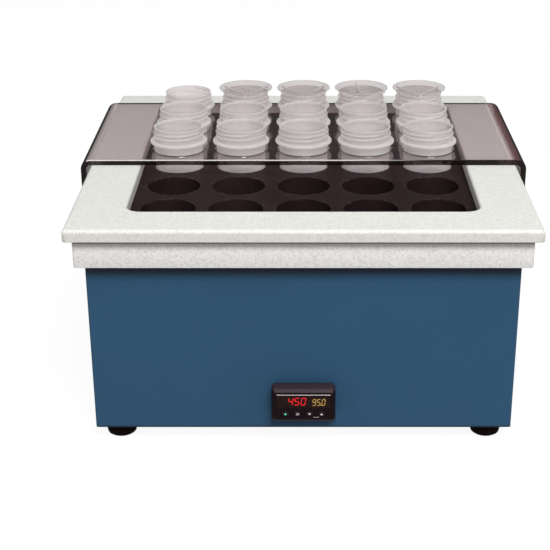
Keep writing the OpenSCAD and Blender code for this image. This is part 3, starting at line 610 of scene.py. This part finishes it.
# ------------------------------------------------------------------ top frame
def slab_piece():
    n = 10
    ro, ri = 3.0, 2.4
    loops = []

    def outer(inset, z):
        return [(x, y, z) for x, y in rounded_rect(SLAB_W - 2 * inset, SLAB_D - 2 * inset, max(0.6, 2.5 - inset * 0.5), n)]

    def inner(grow, z):
        return [(x, y, z) for x, y in rounded_rect(OPEN_W + 2 * grow, OPEN_D + 2 * grow, OPEN_R + grow, n)]

    loops.append(outer(0.5, Z_SLAB))
    loops.append(outer(0.0, Z_SLAB + 0.5))
    for i in range(9):
        a = math.radians(90 * i / 8)
        loops.append(outer(ro - ro * math.cos(a), Z_TOP - ro + ro * math.sin(a)))
    for i in range(9):
        a = math.radians(90 - 90 * i / 8)
        loops.append(inner(ri - ri * math.cos(a), Z_TOP - ri + ri * math.sin(a)))
    loops.append(inner(0.0, Z_SLAB + 0.4))
    loops.append(inner(0.4, Z_SLAB))
    v, f = skin(loops)
    o = add("frame_slab", v, f, M["slab"], "root", ["top_frame"], sharp=50)
    for q in o.data.polygons:
        if q.area > 60e-6 and (abs(q.normal.z) > 0.9999 or abs(q.normal.x) > 0.9999 or abs(q.normal.y) > 0.9999):
            q.use_smooth = False
    return o


slab_piece()


def band_piece():
    n = 6
    t = 7.0
    loops = []
    w, d = BAND_W, BAND_D
    for inset, z in ((1.6, Z_SLAB), (1.5, Z_SLAB - 0.75), (0.25, Z_SLAB - 0.9), (0.0, Z_SLAB - 1.3), (0.0, Z_BAND + 0.5), (0.15, Z_BAND + 0.15), (0.5, Z_BAND)):
        loops.append([(x, y, z) for x, y in rounded_rect(w - 2 * inset, d - 2 * inset, 2.0, n)])
    for z in (Z_BAND, Z_SLAB):
        loops.append([(x, y, z) for x, y in rounded_rect(w - 2 * t, d - 2 * t, 0.4, n)])
    v, f = skin(loops)
    return add("frame_band", v, f, M["band"], "root", ["skirt_band"], sharp=50)


band_piece()


# ------------------------------------------------------------------ cups
def cup_mesh(turn):
    rb, rt, w, f, h = 19.8, 20.6, 1.2, FLANGE_H, CUP_H
    neck = rt - 0.3
    outer = [(0, 0.5), (rb - 4.4, 0.5), (rb - 3.4, 0.0), (rb - 1.6, 0.0)]
    outer += arc(rb - 1.5, 1.5, 1.5, -90, 0, 5)[1:]
    for i in range(1, 5):
        outer.append((rb + (rt - rb) * i / 5, 1.5 + (f - 4.0 - 1.5) * i / 5))
    outer += [(rt, f - 2.4), (rt + 0.15, f - 1.95), (rt + 0.6, f - 1.8)]
    R = 47.7 / 2
    outer += [(R - 0.5, f - 1.8)] + arc(R - 0.45, f - 1.35, 0.45, -90, 0, 3)[1:] + arc(R - 0.45, f - 0.45, 0.45, 0, 90, 3) + [(neck + 0.6, f), (neck + 0.1, f + 0.15), (neck, f + 0.6)]
    z = f + 0.9
    while z < h - 1.75:
        outer.append((neck, z))
        z += 0.3
    outer += [(neck, h - 1.7), (rt - 0.05, h - 1.15)] + arc(rt - 0.35, h - 0.45, 0.45, 0, 90, 4) + arc(rt - 1.05, h - 0.45, 0.45, 90, 180, 4)
    outer += [(rt - 1.5, h - 2.0), (rt - 1.5, f + 1.0), (rt - w, f - 3.0)]
    for i in range(1, 5):
        outer.append((rt - w + (rb - rt) * i / 5, f - 3 + (3.2 - f + 3) * i / 5))
    outer += arc(rb - w - 1.6, 3.2, 1.6, 0, -90, 4) + [(0, 1.6)]
    pitch, start, turns = 3.6, f + 2.7, 1.72

    def ridge(a, r, z):
        if not (f + 0.8 < z < h - 1.6) or r < neck - 0.05:
            return 0.0
        t = ((a - turn) / (2 * math.pi)) % 1.0
        best = 0.0
        for k in range(3):
            s = t + k
            if s > turns:
                continue
            d = abs(z - (start + pitch * s))
            ends = min(1.0, s / 0.06, (turns - s) / 0.06)
            q = max(0.0, 1.0 - (d / 1.05) ** 2.2)
            best = max(best, 1.08 * q * max(0.0, ends))
        return best

    return outer, ridge


TURNS = {}
for r, (rn, y) in enumerate(ROWS.items()):
    for c in range(5):
        node = f"cup_{rn}_{c + 1}"
        turn = random.uniform(0, 2 * math.pi)
        TURNS[node] = turn
        prof, ridge = cup_mesh(turn)
        v, f = lathe(prof, COLS[c], y, Z_CUP, 96, ridge)
        index = []
        for q in f:
            rad = sum(math.hypot(v[i][0] - COLS[c], v[i][1] - y) for i in q) / len(q)
            z = sum(v[i][2] for i in q) / len(q) - Z_CUP
            thick = z > CUP_H - 1.3 or (FLANGE_H - 2.0 < z < FLANGE_H + 0.4 and rad > 23.0)
            thick = thick or (FLANGE_H + 0.9 < z < CUP_H - 1.7 and rad > 21.0)
            index.append(1 if thick else 0)
        add(f"{node}_shell", v, f, [M["cup"], M["cup_edge"]], node, [node], sharp=60, index=index)


# ------------------------------------------------------------------ watch glasses
def glass_piece(c, turn):
    rs, rim, gt, re = 55.0, 0.1, 1.0, 48.4 / 2
    def sag(x):
        return rs - math.sqrt(rs * rs - x * x)
    z0 = rim + 1.3 + gt - sag(20.5)
    n = 14
    prof = [(re * i / n * 0.985, z0 + sag(re * i / n * 0.985)) for i in range(n + 1)]
    top = z0 + sag(re)
    prof += [(re - 0.12, top - 0.08), (re, top - 0.35), (re, top - 0.72), (re - 0.15, top - 0.98)]
    prof += [(re * i / n * 0.985, z0 + sag(re * i / n * 0.985) - gt) for i in range(n, -1, -1)]
    v, f = lathe(prof, COLS[c - 1], ROWS["back"], Z_RIM, 96)
    dish = len(f)
    for a in (0, 120, 240):
        t = math.radians(turn + a)
        ux, uy, nx, ny = math.cos(t), math.sin(t), -math.sin(t), math.cos(t)
        out = [(3.3, -6.0), (16.8, -6.0), (17.6, -5.8), (18.2, -5.2), (18.4, -4.6), (18.4, rim), (22.6, rim),
               (22.6, z0 + sag(22.6) - 0.5), (16, z0 + sag(16) - 0.5), (9, z0 + sag(9) - 0.5), (3, z0 + sag(3) - 0.5), (3, -5.7)]
        base = len(v)
        for s in (-0.6, 0.6):
            for x, z in out:
                v.append((COLS[c - 1] + ux * x + nx * s, ROWS["back"] + uy * x + ny * s, Z_RIM + z))
        m = len(out)
        f.append([base + i for i in range(m)])
        f.append([base + m + i for i in reversed(range(m))])
        for i in range(m):
            j = (i + 1) % m
            f.append([base + i, base + j, base + m + j, base + m + i])
    node = f"watch_glass_{c}"
    index = [0] * dish + [1] * (len(f) - dish)
    for k in range(dish):
        if max(math.hypot(v[i][0] - COLS[c - 1], v[i][1] - ROWS["back"]) for i in f[k]) > re - 0.3:
            index[k] = 1
    # the fins take the whiter copy of the plastic: painted light
    for k in range(dish, len(f)):
        index[k] = 2
    return add(f"{node}_dish", v, f, [M["glass"], M["cup_edge"], M["fin"]], node, [node], sharp=40, index=index)


for c, turn in ((2, 30), (3, 30), (4, 100), (5, 30)):
    glass_piece(c, turn)


# ------------------------------------------------------------------ rack
def apply_modifiers(o):
    dg = bpy.context.evaluated_depsgraph_get()
    me = bpy.data.meshes.new_from_object(o.evaluated_get(dg))
    old = o.data
    o.modifiers.clear()
    o.data = me
    bpy.data.meshes.remove(old)
    return o


def mesh_object(name, verts, faces):
    me = bpy.data.meshes.new(name)
    me.from_pydata([tuple(c * MM for c in v) for v in verts], [], faces)
    bm = bmesh.new()
    bm.from_mesh(me)
    bmesh.ops.recalc_face_normals(bm, faces=bm.faces)
    bm.to_mesh(me)
    bm.free()
    o = bpy.data.objects.new(name, me)
    scene.collection.objects.link(o)
    return o


def cut(target, cutters):
    for c in cutters:
        b = target.modifiers.new("cut", "BOOLEAN")
        b.operation = "DIFFERENCE"
        b.solver = "EXACT"
        b.object = c
    apply_modifiers(target)
    for c in cutters:
        me = c.data
        bpy.data.objects.remove(c)
        bpy.data.meshes.remove(me)


def bevel(o, width, segments=2, angle=30.0, material=-1, clamp=True):
    b = o.modifiers.new("bevel", "BEVEL")
    b.material = material
    b.width = width * MM
    b.segments = segments
    b.limit_method = "ANGLE"
    b.angle_limit = math.radians(angle)
    b.miter_outer = "MITER_ARC"
    b.harden_normals = False
    b.use_clamp_overlap = clamp
    apply_modifiers(o)


def flat_faces(o, least):
    """Faces larger than this many square millimetres keep one normal each."""
    for q in o.data.polygons:
        if q.area > least * 1e-6:
            q.use_smooth = False


def extrude_y(outline, y0, y1):
    """Prism along Y from an outline in X and Z."""
    n = len(outline)
    v = [(x, y0, z) for x, z in outline] + [(x, y1, z) for x, z in outline]
    f = [list(range(n)), [n + i for i in reversed(range(n))]]
    f += [[i, (i + 1) % n, n + (i + 1) % n, n + i] for i in range(n)]
    return v, f


def block_mesh(lo, hi):
    v = [(x, y, z) for z in (lo[2], hi[2]) for y in (lo[1], hi[1]) for x in (lo[0], hi[0])]
    return v, [[0, 1, 3, 2], [4, 6, 7, 5], [0, 4, 5, 1], [2, 3, 7, 6], [0, 2, 6, 4], [1, 5, 7, 3]]


def cylinder_mesh(cx, cy, z0, z1, r, n=96):
    v = [(cx + r * math.cos(2 * math.pi * i / n), cy + r * math.sin(2 * math.pi * i / n), z) for z in (z0, z1) for i in range(n)]
    f = [[i, (i + 1) % n, n + (i + 1) % n, n + i] for i in range(n)]
    return v, f + [list(range(n)), [n + i for i in reversed(range(n))]]


def finish_piece(o, mats, body, replaces=(), sharp=35.0):
    for m in mats if isinstance(mats, (list, tuple)) else [mats]:
        o.data.materials.append(m)
    o.data.shade_smooth()
    o.data.set_sharp_from_angle(angle=math.radians(sharp))
    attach(o, body)
    if replaces:
        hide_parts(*replaces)
    return o


def rack_piece():
    w, t, ro, ri = LEG_IN + SHEET_T, SHEET_T, BEND_R + SHEET_T, BEND_R
    zt = Z_TOP + t
    zb = Z_TOP + 0.08
    out = [(w, LEG_Z)] + arc(w - ro, zt - ro, ro, 0, 90, 16) + arc(-w + ro, zt - ro, ro, 90, 180, 16) + [(-w, LEG_Z)]
    iw = LEG_IN
    out += [(-iw, LEG_Z)] + arc(-iw + ri, zb - ri, ri, 180, 90, 16) + arc(iw - ri, zb - ri, ri, 90, 0, 16) + [(iw, LEG_Z)]
    v, f = extrude_y(out, RACK_Y0, RACK_Y1)
    o = mesh_object("rack_sheet", v, f)
    holes = []
    for x in COLS:
        for y in ROWS.values():
            hv, hf = cylinder_mesh(x, y, Z_TOP - 2, Z_TOP + t + 2, 21.3, 96)
            holes.append(mesh_object("hole", hv, hf))
    cut(o, holes)
    o.data.materials.clear()
    for m in (M["rack"], M["rack_edge"], M["rack_face"]):
        o.data.materials.append(m)
    bevel(o, 0.75, 3, 40, 1, False)
    for q in o.data.polygons:
        low = q.material_index == 1 and q.center.z < (Z_TOP + 1.4) * MM
        if low or (abs(q.normal.y) > 0.999 and q.area > 2e-5):
            q.material_index = 2
    finish_piece(o, [], "rack", ["cup_rack"], 30)
    flat_faces(o, 20.0)
    return o


rack_piece()


# ------------------------------------------------------------------ controller
def bezel_piece():
    z = BEZEL_Z
    yb, y1, y0 = YF - 0.8, YF - BEZEL_P + 2.5, YF - BEZEL_P
    loops = []
    def ring(w, h, r, y, dz=0.0):
        return [(x, y, z + dz + q) for x, q in rounded_rect(w, h, r, 8)]
    loops = [ring(45.6, 24.3, 2.0, yb), ring(49.0, 27.7, 3.1, yb), ring(49.6, 28.3, 3.4, yb - 0.3),
             ring(49.6, 28.3, 3.4, y1 + 0.4), ring(49.5, 28.0, 3.4, y1),
             ring(48.1, 24.9, 3.1, y0 + 0.75), ring(47.8, 24.3, 3.05, y0 + 0.3), ring(47.0, 23.4, 2.8, y0)]
    v, f = skin(loops, close=False)
    n = 36
    last = len(loops) - 1
    f.append([last * n + i for i in range(n)])
    # the hollow behind the face
    base = len(v)
    inner = [ring(45.6, 24.3, 2.0, yb), ring(45.6, 24.3, 2.0, y0 + 3.2)]
    v += inner[1]
    for i in range(n):
        j = (i + 1) % n
        f.append([i, j, base + j, base + i])
    f.append([base + i for i in range(n)])
    o = mesh_object("controller_bezel_shell", v, f)
    cutters = []
    v, f = block_mesh((-21.1, y0 - 2, z - 1.9), (21.1, y0 + 6, z + 10.1))
    cutters.append(mesh_object("c", v, f))
    for x in (-14.05, -4.7, 4.7, 14.05):
        v, f = block_mesh((x - 3.2, y0 - 2, z - 9.0), (x + 3.2, y0 + 6, z - 4.4))
        cutters.append(mesh_object("c", v, f))
    cut(o, cutters)
    bevel(o, 0.28, 2, 50)
    finish_piece(o, [M["bezel"], M["bezel_top_lit"]], "root", ["controller_bezel"], 40)
    # the upward faces of the bezel's top take the paler copy: painted light
    for q in o.data.polygons:
        if q.normal.z > 0.6 and q.center.z > (z + 11.0) * MM:
            q.material_index = 1
    # a pale strip painted as a highlight along the pane's upper edge, and the short bar printed under the last two keys
    for name, lo, hi in (("window_highlight_strip", (-20.9, y0 - 0.1, z + 9.7), (20.9, y0 + 0.5, z + 10.15)),
                         ("key_bar", (7.6, y0 - 0.06, z - 9.75), (12.2, y0 + 0.3, z - 9.45))):
        v, f = block_mesh(lo, hi)
        b = mesh_object(f"controller_{name}", v, f)
        bevel(b, 0.1, 2, 40)
        finish_piece(b, M["lip"], "root", (), 40)
    return o


bezel_piece()


def bar(a, b, t, y0, y1):
    """A seven-segment bar with pointed ends from a to b in X and Z."""
    dx, dz = b[0] - a[0], b[1] - a[1]
    l = math.hypot(dx, dz)
    ux, uz = dx / l, dz / l
    nx, nz = -uz, ux
    h = t / 2
    p = [(a[0], a[1]), (a[0] + ux * h + nx * h, a[1] + uz * h + nz * h), (b[0] - ux * h + nx * h, b[1] - uz * h + nz * h),
         (b[0], b[1]), (b[0] - ux * h - nx * h, b[1] - uz * h - nz * h), (a[0] + ux * h - nx * h, a[1] + uz * h - nz * h)]
    v = [(x, y, z) for y in (y0, y1) for x, z in p]
    f = [[0, 1, 2, 3, 4, 5], [11, 10, 9, 8, 7, 6]] + [[i, (i + 1) % 6, 6 + (i + 1) % 6, 6 + i] for i in range(6)]
    return v, f


SEGMENTS = {"0": "abcdef", "1": "bc", "2": "abged", "3": "abgcd", "4": "fgbc", "5": "afgcd", "6": "afgedc", "7": "abc", "8": "abcdefg", "9": "abcdfg"}


def digits(name, text, centres, z_low, height, width, thick, slant, mat, y0, y1, dots=()):
    v, f = [], []
    for ch, cx in zip(text, centres):
        h, w = height - thick, width - thick
        pts = {}
        for i, (px, pz) in {"tl": (-w / 2, h), "tr": (w / 2, h), "ml": (-w / 2, h / 2), "mr": (w / 2, h / 2), "bl": (-w / 2, 0), "br": (w / 2, 0)}.items():
            pts[i] = (cx + px + (pz - h / 2) * slant, z_low + thick / 2 + pz)
        ends = {"a": ("tl", "tr"), "b": ("tr", "mr"), "c": ("mr", "br"), "d": ("bl", "br"), "e": ("ml", "bl"), "f": ("tl", "ml"), "g": ("ml", "mr")}
        for s in SEGMENTS[ch]:
            a, b = (pts[e] for e in ends[s])
            l = math.hypot(b[0] - a[0], b[1] - a[1])
            g = 0.08 / l
            a2 = (a[0] + (b[0] - a[0]) * g, a[1] + (b[1] - a[1]) * g)
            b2 = (b[0] + (a[0] - b[0]) * g, b[1] + (a[1] - b[1]) * g)
            bv, bf = bar(a2, b2, thick, y0, y1)
            k = len(v)
            v += bv
            f += [[k + i for i in q] for q in bf]
    for cx, cz, r in dots:
        k = len(v)
        n = 16
        for y in (y0, y1):
            v += [(cx + r * math.cos(2 * math.pi * i / n), y, cz + r * math.sin(2 * math.pi * i / n)) for i in range(n)]
        f += [[k + i for i in range(n)], [k + n + i for i in reversed(range(n))]] + [[k + i, k + (i + 1) % n, k + n + (i + 1) % n, k + n + i] for i in range(n)]
    return add(name, v, f, mat, "root", (), sharp=20)


Y_DIGIT = (-176.28, -176.14)
digits("display_digits_large", "450", (-9.95, -5.1, -0.1), 38.5, 6.9, 4.0, 0.85, 0.16, lit("lit_red", (1.0, 0.04, 0.07), 6.5), *Y_DIGIT)
digits("display_digits_small", "950", (8.3, 11.8, 15.6), 38.3, 5.9, 2.9, 0.66, 0.14, lit("lit_yellow", (0.62, 1.0, 0.34), 6.0), *Y_DIGIT, dots=((13.65, 38.7, 0.42),))

M["key_mark"] = plain("key_mark", (226, 226, 222), 0.5, spec=0.4)
M["key_mark_green"] = lit("key_mark_green", (0.10, 0.75, 0.55), 1.3)


def key_piece(node, x, mark):
    z = BEZEL_Z - 6.7
    y0 = YF - BEZEL_P - 0.3
    v, f = block_mesh((x - 2.95, y0, z - 2.05), (x + 2.95, y0 + 3.2, z + 2.05))
    o = mesh_object(f"{node}_cap", v, f)
    bevel(o, 0.55, 4, 30)
    finish_piece(o, M["key"], node, [node], 40)
    v, f = block_mesh((x - 1.6, y0 + 3.1, z - 1.5), (x + 1.6, y0 + 5.9, z + 1.5))
    s = mesh_object(f"{node}_stem", v, f)
    bevel(s, 0.2, 2, 30)
    finish_piece(s, M["key"], node, (), 40)
    ya, yb = y0 - 0.06, y0 + 0.1
    v, f = [], []
    for poly in mark:
        k = len(v)
        n = len(poly)
        v += [(x + px, y, z + pz) for y in (ya, yb) for px, pz in poly]
        f += [[k + i for i in range(n)], [k + n + i for i in reversed(range(n))]] + [[k + i, k + (i + 1) % n, k + n + (i + 1) % n, k + n + i] for i in range(n)]
    m = M["key_mark_green"] if node == "key_function" else M["key_mark"]
    add(f"{node}_mark", v, f, m, node, (), sharp=20)


disc = [(0.75 * math.cos(i * math.pi / 10), 0.75 * math.sin(i * math.pi / 10)) for i in range(20)]


def chevron(cx, d):
    return [(cx - 0.55 * d, 0.95), (cx - 0.05 * d, 0.95), (cx + 0.75 * d, 0.0), (cx - 0.05 * d, -0.95), (cx - 0.55 * d, -0.95), (cx + 0.2 * d, 0.0)]


key_piece("key_function", -14.05, [disc])
key_piece("key_advance", -4.7, [chevron(-0.6, 1), chevron(0.65, 1)])
key_piece("key_down", 4.7, [[(-1.15, 0.75), (1.15, 0.75), (0, -0.95)]])
key_piece("key_up", 14.05, [[(-1.15, -0.75), (1.15, -0.75), (0, 0.95)]])

# ------------------------------------------------------------------ stage and light
floor_me = bpy.data.meshes.new("floor")
floor_me.from_pydata([(-9, -6, 0), (9, -6, 0), (9, 12, 0), (-9, 12, 0)], [], [[0, 1, 2, 3]])
floor = bpy.data.objects.new("floor", floor_me)
scene.collection.objects.link(floor)
t = Tree("floor_pale")
p = t.principled(Roughness=t.span(t.noise(3.0), 0.3, 0.7, 0.85, 0.95))
p.inputs["Base Color"].default_value = (0.12, 0.12, 0.12, 1)
p.inputs["Specular IOR Level"].default_value = 0.05
p.inputs["Emission Color"].default_value = (1, 1, 1, 1)
path = t.nt.nodes.new("ShaderNodeLightPath")
lit_by = t.math("MAXIMUM", path.outputs["Is Diffuse Ray"], t.math("MULTIPLY", path.outputs["Is Glossy Ray"], 0.8))
t.link(t.span(lit_by, 0.0, 1.0, 0.92, 0.36), p.inputs["Emission Strength"])
floor_me.materials.append(t.done(p.outputs[0]))

world = bpy.data.worlds.new("studio")
scene.world = world
world.use_nodes = True
wn = world.node_tree
bg = next(n for n in wn.nodes if n.type == "BACKGROUND")
bg.inputs["Color"].default_value = (1.0, 0.995, 0.985, 1)
seen = world.node_tree.nodes.new("ShaderNodeLightPath")
dim = world.node_tree.nodes.new("ShaderNodeMapRange")
dim.inputs[3].default_value = 0.3
dim.inputs[4].default_value = 0.07
world.node_tree.links.new(seen.outputs["Is Glossy Ray"], dim.inputs[0])
pale = world.node_tree.nodes.new("ShaderNodeMath")
pale.operation = "MAXIMUM"
world.node_tree.links.new(dim.outputs[0], pale.inputs[0])
world.node_tree.links.new(seen.outputs["Is Camera Ray"], pale.inputs[1])
world.node_tree.links.new(pale.outputs[0], bg.inputs["Strength"])


def softbox(name, at, to, size, power, colour=(1, 1, 1)):
    d = bpy.data.lights.new(name, "AREA")
    d.shape = "RECTANGLE"
    d.size, d.size_y = size
    d.energy = power
    d.color = colour
    o = bpy.data.objects.new(name, d)
    scene.collection.objects.link(o)
    o.location = at
    o.rotation_euler = (Vector(to) - Vector(at)).to_track_quat("-Z", "Y").to_euler()
    return o


softbox("overhead", (0.0, -0.6, 2.4), (0, 0, 0.15), (1.8, 1.4), 4.0)
softbox("strip", (0.0, -0.85, 2.6), (0, 0, 0.18), (2.6, 0.16), 7.0)
softbox("left", (-1.9, -0.9, 2.0), (0, 0, 0.12), (1.2, 1.2), 3.0)
softbox("right", (1.9, -0.9, 2.0), (0, 0, 0.12), (1.2, 1.2), 4.0)
softbox("front", (0.65, -2.2, 2.6), (0, 0, 0.12), (1.5, 1.1), 78.0)

scene.view_settings.view_transform = "Standard"
scene.view_settings.look = "None"
scene.view_settings.exposure = 0.0
scene.view_settings.gamma = 1.0
if hasattr(scene, "cycles"):
    scene.cycles.transparent_max_bounces = 32
    scene.cycles.max_bounces = 14
    scene.cycles.transmission_bounces = 14

bpy.context.view_layer.update()
